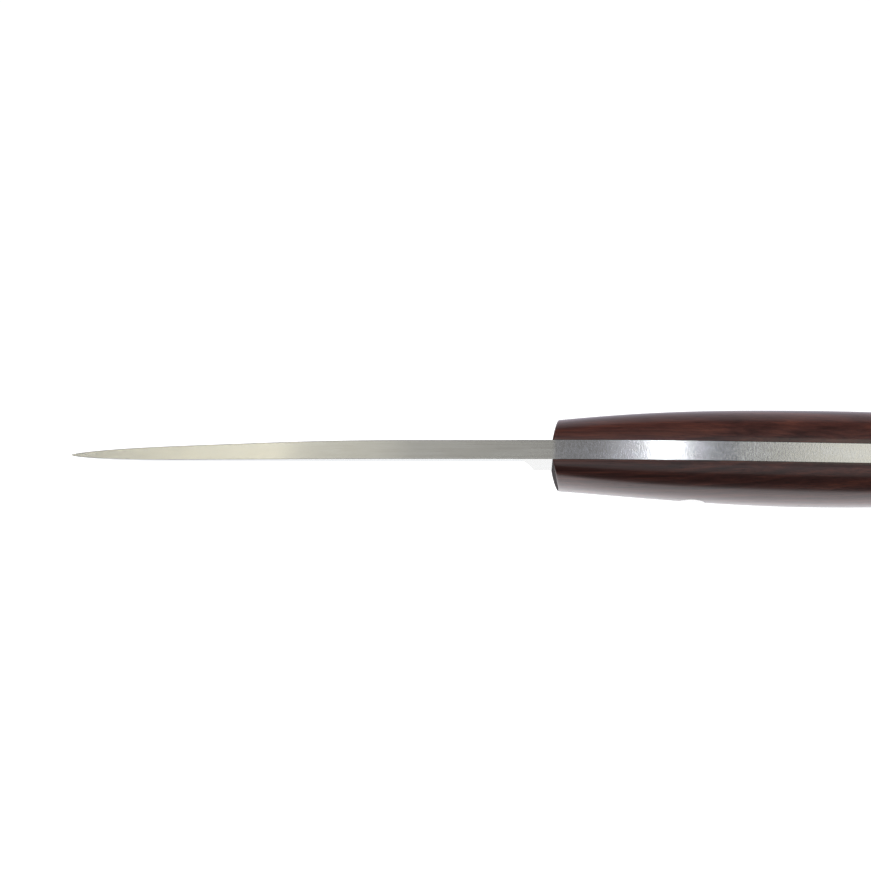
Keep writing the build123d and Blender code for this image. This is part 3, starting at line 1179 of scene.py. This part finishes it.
def add_plate(
    shell: Shell, near: np.ndarray, far: np.ndarray, bolts: Sequence[BoltPlace], radius: float
) -> None:
    """Add two facing grids, the rim that joins them and round holes through both.

    Args:
        shell: the piece being built.
        near: points of one face, (rungs, points, 3).
        far: points of the other, with the same X and Z.
        bolts: where the holes go.
        radius: radius of the holes.
    """
    holes = [Hole(bolt.x, bolt.z) for bolt in bolts]
    windows = [hole.window(near) for hole in holes]
    shell.add(near, windows=windows)
    shell.add(far, windows=windows)
    row, column = block_edge((0, near.shape[0] - 1), (0, near.shape[1] - 1))
    shell.add(np.stack([near[row, column], far[row, column]]), closed=True)
    for hole, window in zip(holes, windows):
        row, column = block_edge(*window)
        ring = hole.ring(near[row, column], radius)
        ends = []
        for face in (near, far):
            face_y = float(face[row, column][0, 1])
            shell.add(hole.surround(face[row, column], ring, level(face_y)), closed=True)
            ends.append(Hole.at(ring, face_y))
        shell.add(np.stack(ends), closed=True)


class Blade:
    """The one strip of steel: the ground blade ahead and the tang between the scales."""

    SHARP_ANGLE = radians(9.0)
    EDGE_BREAK = 0.14
    GROUND_STATIONS = 150
    TANG_STATIONS = 150
    PLUNGE_STEPS = 18
    GUARD_STEPS = 12
    RICASSO_STEPS = 5
    GUARD_FACE_STEPS = 3
    TIP_CROWDING = 1.5
    HEIGHTS = 27
    BREAK_STEPS = 4
    BREAK_FADE = 1.0
    BREAK_OF_WIDTH = 0.4
    BREAK_OF_LENGTH = 0.3
    SHORTEST = 1e-9

    def __init__(self, shape: BladeShape, handle: Handle, steel: BladeSteel) -> None:
        """Keep the sizes and the finish.

        Args:
            shape: side and section of the blade.
            handle: gives the tang's outline and the bolts.
            steel: finish.
        """
        self.shape = shape
        self.handle = handle
        self.steel = steel

    def outline(self) -> tuple[np.ndarray, np.ndarray]:
        """Upper and lower ends of the rungs from the tip to the butt's corners.

        The lower ends follow the edge, the plunge's foot, the hollow corner ahead of the handle,
        the step down at its front and the keel. The upper ends lean forward by the plunge's lean
        at its foot, and by less towards the tip and the front.

        Returns:
            Upper and lower ends as X and Z, (n, 2) each.
        """
        shape, grip = self.shape, self.handle.shape
        foot = shape.front_x - shape.ricasso
        plunge_turn = np.linspace(0, pi / 2, self.PLUNGE_STEPS)
        near_plunge = foot - shape.plunge_radius * (1 - np.sin(plunge_turn))
        run = near_plunge[0] - shape.tip_x
        ahead = shape.tip_x + run * np.linspace(0, 1, self.GROUND_STATIONS)[:-1] ** self.TIP_CROWDING
        ground_x = np.concatenate([ahead, near_plunge])
        ground_top = ground_x - shape.plunge_lean * (ground_x - shape.tip_x) / (foot - shape.tip_x)
        corner_x = shape.front_x - shape.guard_rounding
        flat_x = np.linspace(foot, corner_x, self.RICASSO_STEPS)[1:]
        flat_z = np.full(flat_x.shape, shape.edge_z)
        guard_turn = np.linspace(0, pi / 2, self.GUARD_STEPS)[1:]
        guard_x = corner_x + shape.guard_rounding * np.sin(guard_turn)
        guard_z = shape.edge_z - shape.guard_rounding * (1 - np.cos(guard_turn))
        keel_z = float(grip.keel(shape.front_x))
        step_z = np.linspace(guard_z[-1], keel_z, self.GUARD_FACE_STEPS)[1:]
        step_x = np.full(step_z.shape, shape.front_x)
        lower_x = np.concatenate([ground_x, flat_x, guard_x, step_x])
        lower_z = np.concatenate([shape.edge(ground_x), flat_z, guard_z, step_z])
        behind = len(lower_x) - len(ground_x)
        upper_behind = np.linspace(ground_top[-1], shape.front_x, behind + 1)[1:]
        upper_x = np.concatenate([ground_top, upper_behind])
        tang_top, tang_bottom = self.handle.tang_outline(self.TANG_STATIONS)
        upper = np.stack([upper_x, shape.top(upper_x)], axis=1)
        lower = np.stack([lower_x, lower_z], axis=1)
        return np.concatenate([upper, tang_top[1:]]), np.concatenate([lower, tang_bottom[1:]])

    def side(self) -> np.ndarray:
        """Right-hand side of the strip, from the edge up to the middle of its spine's edge break.

        Heights up each rung are nought, the top of the sharpened edge, even steps to the edge
        break, and then an arc of the break's radius. Y is the blade's half thickness there.

        Returns:
            Points as (rungs, heights, 3).
        """
        shape = self.shape
        top, bottom = self.outline()
        length = np.linalg.norm(top - bottom, axis=1)
        way = (top - bottom) / np.maximum(length, self.SHORTEST)[:, None]
        exposed = np.clip((shape.front_x - top[:, 0]) / self.BREAK_FADE, 0, 1)
        spine_half = shape.half_width(top[:, 0], top[:, 1])
        tip_room = np.minimum(self.BREAK_OF_WIDTH * spine_half, self.BREAK_OF_LENGTH * length)
        radius = np.minimum(self.EDGE_BREAK * exposed, tip_room)
        first = np.minimum(shape.sharpened_rise, length / 2)
        steps = np.linspace(0, 1, self.HEIGHTS)
        arc = np.linspace(0, pi / 2, self.BREAK_STEPS)[1:]
        rising = first[:, None] + (length - radius - first)[:, None] * steps
        broken = (length - radius)[:, None] + radius[:, None] * np.sin(arc)
        up = np.concatenate([np.zeros((len(length), 1)), rising, broken], axis=1)
        plan = bottom[:, None] + way[:, None] * up[..., None]
        y = shape.half_width(plan[..., 0], plan[..., 1])
        y[:, -len(arc):] -= radius[:, None] * (1 - np.cos(arc))
        points = flat_points(plan, y)
        butt = self.handle.butt_rungs(up[-1] / length[-1])
        return np.concatenate([points, flat_points(butt[1:], shape.half_steel)])

    def build(self) -> bpy.types.Object:
        """Build the strip with its two bolt holes."""
        shell = Shell("blade_and_tang", sharp_angle=self.SHARP_ANGLE)
        near = self.side()
        add_plate(shell, near, Side.LEFT.turn(near), self.handle.bolts, self.handle.SHANK_HOLE)
        return dressed(shell.build(), "blade", Slot.BLADE, self.steel.make())


class HandleBolt:
    """One two-part handle bolt: a socket half from the right and a screw half from the left."""

    SHANK_RADIUS = 2.38
    STUD_RADIUS = 1.7
    THREAD_CLEARANCE = 0.05
    SOCKET_END_GAP = 0.5
    STUD_END_GAP = 0.8
    SOCKET_FLOOR = 1.2
    SPOKES = 96
    FACE_RINGS = 10

    def __init__(self, place: BoltPlace, handle: Handle, metal: bpy.types.Material) -> None:
        """Keep the place and the material.

        Args:
            place: where the bolt sits.
            handle: gives the outside that the heads are ground to, and the shoulder's plane.
            metal: material of both halves.
        """
        self.place = place
        self.grip = handle.shape
        self.shoulder_y = handle.shoulder_y
        self.blind_end = handle.shoulder_y - self.SOCKET_FLOOR
        self.metal = metal

    def turned(self, name: str, side: Side, profile: Sequence[tuple[float, float]]) -> Shell:
        """Turn a profile about the bolt's axis and close it with a head ground to the grip.

        The head's face is a disc of rings whose Y is the grip's outside, and each other ring is a
        circle at one Y.

        Args:
            name: the finished piece's name.
            side: side that the head is on.
            profile: radius and Y of each ring from the shoulder to the axis, Y towards the head.

        Returns:
            The closed shell.
        """
        shell = Shell(name, side)
        angle = np.linspace(0, 2 * pi, self.SPOKES, endpoint=False)
        face = np.linspace(0, self.place.head_radius, self.FACE_RINGS)
        radius = np.concatenate([face, [one[0] for one in profile]])[:, None]
        x = self.place.x + radius * np.cos(angle)
        z = self.place.z + radius * np.sin(angle)
        ground = self.grip.skin_lift(x[:len(face)], z[:len(face)])
        flat = np.array([one[1] for one in profile])[:, None] * np.ones(self.SPOKES)
        shell.add(np.stack([x, np.concatenate([ground, flat]), z], axis=-1), closed=True)
        return shell

    def socket(self) -> bpy.types.Object:
        """Build the socket half: head, shank and the blind hole that takes the stud."""
        hole = self.STUD_RADIUS + self.THREAD_CLEARANCE
        end = self.SOCKET_END_GAP - self.shoulder_y
        profile = [
            (self.place.head_radius, self.shoulder_y),
            (self.SHANK_RADIUS, self.shoulder_y),
            (self.SHANK_RADIUS, end),
            (hole, end),
            (hole, self.blind_end),
            (0.0, self.blind_end),
        ]
        shell = self.turned(f"{self.place.name}_socket_half", Side.RIGHT, profile)
        return dressed(shell.build(), f"{self.place.name}_bolt_socket", Slot.BOLT, self.metal)

    def screw(self) -> bpy.types.Object:
        """Build the screw half: head and stud."""
        end = self.STUD_END_GAP - self.blind_end
        profile = [
            (self.place.head_radius, self.shoulder_y),
            (self.STUD_RADIUS, self.shoulder_y),
            (self.STUD_RADIUS, end),
            (0.0, end),
        ]
        shell = self.turned(f"{self.place.name}_screw_half", Side.LEFT, profile)
        return dressed(shell.build(), f"{self.place.name}_bolt_screw", Slot.BOLT, self.metal)


# ------------------------------------------------------------------------------- studio
@dataclass(frozen=True)
class SoftBox:
    """A rectangular light that faces the knife, placed by its angles from straight overhead.

    Angles are in degrees: the first pair spans it towards the butt, the second towards +Y. It may
    be left out of reflections, or light nothing but them.
    """

    name: str
    along: tuple[float, float]
    across: tuple[float, float]
    radiance: float
    tint: Colour = (1.0, 1.0, 1.0)
    height: float = 1.0
    in_gloss: bool = True
    in_body: bool = True

    def light(self, centre: np.ndarray) -> bpy.types.Object:
        """Hang the box level above the knife.

        Each edge lies at the height times the tangent of its angle from the centre, and the power
        is pi times the area times the radiance.

        Args:
            centre: point that the angles are measured from, in metres.

        Returns:
            The light.
        """
        edges = self.height * np.tan(np.radians([self.along, self.across]))
        size = edges[:, 1] - edges[:, 0]
        data = bpy.data.lights.new(self.name, "AREA")
        data.shape = "RECTANGLE"
        data.size, data.size_y = float(size[0]), float(size[1])
        data.energy = pi * float(size.prod()) * self.radiance
        data.color = self.tint
        lamp = bpy.data.objects.new(self.name, data)
        middle = edges.mean(axis=1)
        lamp.location = centre + (middle[0], middle[1], self.height)
        lamp.visible_glossy, lamp.visible_diffuse = self.in_gloss, self.in_body
        bpy.context.scene.collection.objects.link(lamp)
        return lamp


class Studio:
    """Camera, pale floor, surround and soft boxes."""

    LEAN = radians(8.0)
    DISTANCE = 2.4
    FIELD = 0.21667
    SENSOR = 36.0
    AIM_FROM_TIP = 90.895
    AIM_Y = 3.62
    FLOOR_HALF = 4.0
    FLOOR_LEFT = 1.70
    FLOOR_RIGHT = 0.94
    FLOOR_TURN = 0.12

    SKY = (
        (0.0, (0.012, 0.012, 0.012)),
        (0.72, (0.035, 0.035, 0.037)),
        (0.935, (0.235, 0.262, 0.305)),
        (0.975, (0.27, 0.27, 0.28)),
    )
    UNDER = (
        (0.27, (1.42, 1.42, 1.46)),
        (0.45, (1.16, 1.18, 1.22)),
        (0.55, (1.08, 1.11, 1.17)),
        (0.70, (0.62, 0.62, 0.72)),
        (1.0, (0.30, 0.295, 0.31)),
    )
    BOXES = (
        SoftBox("glint", (12.4, 13.85), (6.6, 9.4), 9.0, (0.95, 0.97, 1.0)),
        SoftBox("glint_shoulder", (8.3, 17.3), (3.0, 14.0), 0.56, (0.86, 0.90, 1.0)),
        SoftBox("butt_panel", (21.2, 43.0), (1.0, 24.0), 0.97, (1.0, 0.97, 0.80)),
        SoftBox("tip_panel", (-22.5, -20.5), (1.0, 24.0), 2.90, (1.0, 0.95, 0.75)),
        SoftBox("clip_panel", (-20.5, -17.0), (1.0, 24.0), 1.10, (1.0, 0.96, 0.82)),
        SoftBox("blade_panel", (-17.0, -4.7), (1.0, 24.0), 0.60, (1.0, 0.99, 0.87)),
        SoftBox("ricasso_panel", (-4.7, 0.75), (1.0, 24.0), 0.47, (1.0, 1.0, 0.92)),
        SoftBox("left_panel", (-60.0, 60.0), (-44.0, -10.0), 0.36, (1.0, 0.96, 0.93), in_body=False),
        SoftBox("right_key", (-55.0, 55.0), (38.0, 62.0), 2.9, (1.0, 0.96, 0.95), in_gloss=False),
    )

    def __init__(self, blade: BladeShape) -> None:
        """Aim at the middle of the view, on the spine."""
        self.centre = np.array([blade.tip_x + self.AIM_FROM_TIP, self.AIM_Y, blade.spine_z]) * MM

    def camera(self) -> bpy.types.Object:
        """Place the camera above the spine, leaning a little to the left-hand side."""
        data = bpy.data.cameras.new("view")
        data.sensor_width = self.SENSOR
        data.lens = self.SENSOR * self.DISTANCE / self.FIELD
        data.clip_start, data.clip_end = 0.01, 50.0
        camera = bpy.data.objects.new("view", data)
        camera.location = self.centre + np.array([0, -sin(self.LEAN), cos(self.LEAN)]) * self.DISTANCE
        camera.rotation_euler = (self.LEAN, 0, 0)
        bpy.context.scene.collection.objects.link(camera)
        bpy.context.scene.camera = camera
        return camera

    def floor(self) -> bpy.types.Object:
        """Lay a pale level floor under the knife, with a glow that is fuller on the left-hand side."""
        half, floor_z = self.FLOOR_HALF, float(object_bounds()[0].z)
        corners_xy = [(-half, -half), (half, -half), (half, half), (-half, half)]
        mesh = bpy.data.meshes.new("pale_floor")
        mesh.from_pydata([(x, y, floor_z) for x, y in corners_xy], [], [(0, 1, 2, 3)])
        floor = bpy.data.objects.new("pale_floor", mesh)
        bpy.context.scene.collection.objects.link(floor)
        paint = Paint(bpy.data.materials.new("pale_floor"))
        sockets = {
            "Base Color": (0.16, 0.16, 0.16, 1.0),
            "Roughness": 0.9,
            "Specular IOR Level": 0.0,
            "Emission Color": self.floor_glow(paint),
            "Emission Strength": 1.0,
        }
        mesh.materials.append(paint.finish(sockets))
        floor.visible_glossy = False
        floor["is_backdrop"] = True
        return floor

    def floor_glow(self, paint: Paint) -> Reading:
        """Glow across the floor, falling smoothly from the left-hand side to the right."""
        turn = self.FLOOR_TURN / MM
        share = paint.axis("Y").step(-turn, turn)
        return paint.mix(share, (self.FLOOR_LEFT,) * 3, (self.FLOOR_RIGHT,) * 3)

    def surround(self) -> bpy.types.World:
        """Pale to the camera, and dimmer as a light: brightest overhead, dark at the horizon.

        Below the horizon it stands for the floor in reflections, where a dark card on the right
        keeps the sheen on that scale thin: it fades by the sideways part of the direction.
        """
        world = bpy.data.worlds.new("studio")
        paint = Paint(world)
        way = paint.node("TexCoord", {}, {}, "Generated")
        height = paint.node("SeparateXYZ", {}, {"Vector": way}, "Z")
        sideways = paint.node("SeparateXYZ", {}, {"Vector": way}, "Y") * 0.5 + 0.5
        below = height.step(-0.02, -0.24)
        glow = paint.mix(below, paint.ramp(height, self.SKY), paint.ramp(sideways, self.UNDER))
        seen = paint.node("LightPath", {}, {}, "Is Camera Ray")
        colour = paint.mix(seen, glow, (1.0, 1.0, 1.0))
        shade = paint.node("Background", {}, {"Color": colour, "Strength": 1.0}, "Background")
        paint.node("OutputWorld", {}, {"Surface": shade})
        bpy.context.scene.world = world
        return world

    def build(self) -> None:
        """Make everything that isn't the knife."""
        self.camera()
        self.floor()
        self.surround()
        for box in self.BOXES:
            box.light(self.centre)
        bpy.context.scene.view_settings.view_transform = "Standard"


# ------------------------------------------------------------------------------- the knife
def main() -> None:
    """Build the knife piece by piece and light it."""
    blade_shape, grip_shape = BladeShape.read(), GripShape.read()
    places = [BoltPlace.read(name) for name in ("front", "rear")]
    handle = Handle(grip_shape, places, ScaleWood(), Adhesive())
    blade = Blade(blade_shape, handle, BladeSteel(blade_shape.front_x))
    log.info("blade and tang: %d points", len(blade.build().data.vertices))
    for side in Side:
        log.info("%s: %d points", side.name, len(handle.scale(side).data.vertices))
        log.info("%s glue: %d points", side.name, len(handle.film(side).data.vertices))
    metal = BoltSteel().make()
    for place in places:
        bolt = HandleBolt(place, handle, metal)
        halves = (bolt.socket(), bolt.screw())
        log.info("%s bolt: %d points", place.name, sum(len(half.data.vertices) for half in halves))
    Studio(blade_shape).build()


if __name__ == "__main__":
    main()
